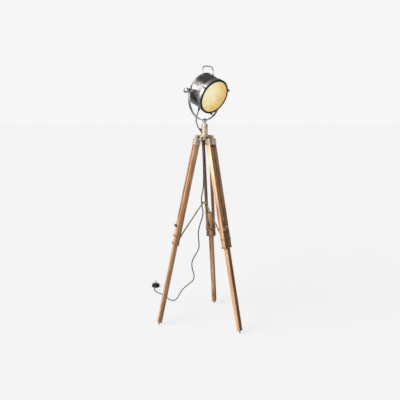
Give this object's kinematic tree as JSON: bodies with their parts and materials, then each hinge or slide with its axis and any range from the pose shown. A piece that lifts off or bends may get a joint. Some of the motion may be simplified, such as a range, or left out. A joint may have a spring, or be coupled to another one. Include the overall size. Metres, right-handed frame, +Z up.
{
  "type": "tripod spotlight floor lamp",
  "caption": "Floor lamp with a drum spotlight in a tilting yoke on a turned post, on a folding wooden tripod with sliding lower legs and brass braces.",
  "frame": {"origin": "on the floor, in the middle of the lamp's footprint without the cord", "axes": "+Z up, -Y towards the viewer of the picture, +X to the viewer's right"},
  "size_m": [0.5944, 0.8162, 1.4954],
  "materials": {
    "aged_brass": "antiqued, worn lacquer",
    "bright_brass": "satin",
    "polished_nickel": "polished",
    "bright_chrome": "mirror polished",
    "black_steel": "satin black",
    "plain_steel": "brushed",
    "stained_wood": "streaked stain, satin",
    "light_wood": "streaked stain, satin",
    "amber_glass": "clear, warm tint",
    "reflector_mirror": "polished",
    "bulb_glass": "opal",
    "black_rubber": "matt",
    "black_plastic": "moulded",
    "cord_sheath": "soft sheath"
  },
  "bodies": {
    "stand": {"hub_casting": "aged_brass", "hinge_bolts": "black_steel", "lower_cord": "cord_sheath", "plug_body": "black_plastic", "plug_pins": "bright_brass"},
    "mast": {"post_tube": "aged_brass", "cord_grommet": "black_rubber", "post_ring_nut": "aged_brass", "cord_bush": "black_rubber", "yoke_stud": "bright_chrome", "yoke_nut": "black_steel", "yoke": "polished_nickel", "upper_cord": "cord_sheath"},
    "clamp_screw": {"post_clamp_screw": "black_steel"},
    "head": {"drum_shell": "polished_nickel", "rear_cover": "polished_nickel", "bezel_ring": "bright_chrome", "lens_gasket": "black_rubber", "lens_glass": "amber_glass", "bezel_clamps": "black_steel", "reflector": "reflector_mirror", "lampholder": "black_plastic", "holder_bracket": "plain_steel", "bulb": "bulb_glass", "pivot_studs": "bright_chrome", "pivot_nuts": "black_steel", "handle": "bright_chrome", "cable_gland": "black_plastic"},
    "near_knob": {"tilt_knob_near": "bright_chrome"},
    "far_knob": {"tilt_knob_far": "bright_chrome"},
    "collar": {"brace_collar": "aged_brass"},
    "upper_leg_a": {"leg_cap_a": "aged_brass", "leg_rails_a": "stained_wood", "end_plate_a": "aged_brass", "brace_band_a": "aged_brass", "lock_plate_a": "aged_brass"},
    "lower_leg_a": {"lower_leg_a": "light_wood", "spike_a": "plain_steel"},
    "lock_knob_a": {"lock_knob_a": "black_steel"},
    "brace_a": {"brace_rod_a": "bright_brass"},
    "upper_leg_b": {"leg_cap_b": "aged_brass", "leg_rails_b": "stained_wood", "end_plate_b": "aged_brass", "brace_band_b": "aged_brass", "lock_plate_b": "aged_brass"},
    "lower_leg_b": {"lower_leg_b": "light_wood", "spike_b": "plain_steel"},
    "lock_knob_b": {"lock_knob_b": "black_steel"},
    "brace_b": {"brace_rod_b": "bright_brass"},
    "upper_leg_c": {"leg_cap_c": "aged_brass", "leg_rails_c": "stained_wood", "end_plate_c": "aged_brass", "brace_band_c": "aged_brass", "lock_plate_c": "aged_brass"},
    "lower_leg_c": {"lower_leg_c": "light_wood", "spike_c": "plain_steel"},
    "lock_knob_c": {"lock_knob_c": "black_steel"},
    "brace_c": {"brace_rod_c": "bright_brass"}
  },
  "joints": [
    {"name": "mast_pan", "type": "hinge", "parent": "stand", "child": "mast", "pos_m": [0.0315, -0.0378, 1.113], "axis": [0, 0, 1], "range_deg": [-150, 150]},
    {"name": "clamp_screw_turn", "type": "hinge", "parent": "mast", "child": "clamp_screw", "pos_m": [0.0315, -0.0378, 1.146], "axis": [-1, 0, 0], "continuous": true},
    {"name": "head_tilt", "type": "hinge", "parent": "mast", "child": "head", "pos_m": [0.0315, -0.0378, 1.361], "axis": [0.7071, 0.7071, 0], "range_deg": [-40, 6], "deforming": ["upper_cord"]},
    {"name": "near_knob_turn", "type": "hinge", "parent": "head", "child": "near_knob", "pos_m": [0.0315, -0.0378, 1.361], "axis": [-0.7071, -0.7071, 0], "continuous": true},
    {"name": "far_knob_turn", "type": "hinge", "parent": "head", "child": "far_knob", "pos_m": [0.0315, -0.0378, 1.361], "axis": [0.7071, 0.7071, 0], "continuous": true},
    {"name": "collar_slide", "type": "slide", "parent": "stand", "child": "collar", "axis": [0, 0, 1], "range_m": [0, 0.032]},
    {"name": "leg_fold_a", "type": "hinge", "parent": "stand", "child": "upper_leg_a", "pos_m": [-0.00879, -0.04966, 1.104], "axis": [0.2823, -0.9593, 0], "range_deg": [0, 11]},
    {"name": "brace_turn_a", "type": "hinge", "parent": "upper_leg_a", "child": "brace_a", "pos_m": [-0.10724, -0.07863, 0.53073], "axis": [0.2823, -0.9593, 0], "range_deg": [0, 18.6]},
    {"name": "lower_slide_a", "type": "slide", "parent": "upper_leg_a", "child": "lower_leg_a", "axis": [-0.203, -0.0597, -0.9774], "range_m": [-0.35, 0.03]},
    {"name": "lock_knob_turn_a", "type": "hinge", "parent": "upper_leg_a", "child": "lock_knob_a", "pos_m": [-0.11455, -0.08078, 0.5948], "axis": [-0.9376, -0.2759, 0.2116], "continuous": true},
    {"name": "leg_fold_b", "type": "hinge", "parent": "stand", "child": "upper_leg_b", "pos_m": [0.04138, 0.00302, 1.104], "axis": [-0.972, 0.2351, 0], "range_deg": [0, 11]},
    {"name": "brace_turn_b", "type": "hinge", "parent": "upper_leg_b", "child": "brace_b", "pos_m": [0.06551, 0.10277, 0.53073], "axis": [-0.972, 0.2351, 0], "range_deg": [0, 18.6]},
    {"name": "lower_slide_b", "type": "slide", "parent": "upper_leg_b", "child": "lower_leg_b", "axis": [0.0498, 0.2057, -0.9774], "range_m": [-0.35, 0.03]},
    {"name": "lock_knob_turn_b", "type": "hinge", "parent": "upper_leg_b", "child": "lock_knob_b", "pos_m": [0.0673, 0.11017, 0.5948], "axis": [0.2298, 0.95, 0.2116], "continuous": true},
    {"name": "leg_fold_c", "type": "hinge", "parent": "stand", "child": "upper_leg_c", "pos_m": [0.06192, -0.06676, 1.104], "axis": [0.6896, 0.7242, 0], "range_deg": [0, 11]},
    {"name": "brace_turn_c", "type": "hinge", "parent": "upper_leg_c", "child": "brace_c", "pos_m": [0.13623, -0.13754, 0.53073], "axis": [0.6896, 0.7242, 0], "range_deg": [0, 18.6]},
    {"name": "lower_slide_c", "type": "slide", "parent": "upper_leg_c", "child": "lower_leg_c", "axis": [0.1532, -0.1459, -0.9774], "range_m": [-0.35, 0.03]},
    {"name": "lock_knob_turn_c", "type": "hinge", "parent": "upper_leg_c", "child": "lock_knob_c", "pos_m": [0.14175, -0.14279, 0.5948], "axis": [0.7078, -0.674, 0.2116], "continuous": true}
  ],
  "couplings": [
    {"joint": "collar_slide", "follows": "leg_fold_a", "m_per_rad": 0.16632},
    {"joint": "brace_turn_a", "follows": "leg_fold_a", "ratio": 1.6765},
    {"joint": "leg_fold_b", "follows": "leg_fold_a", "ratio": 1},
    {"joint": "brace_turn_b", "follows": "leg_fold_a", "ratio": 1.6765},
    {"joint": "leg_fold_c", "follows": "leg_fold_a", "ratio": 1},
    {"joint": "brace_turn_c", "follows": "leg_fold_a", "ratio": 1.6765}
  ]
}
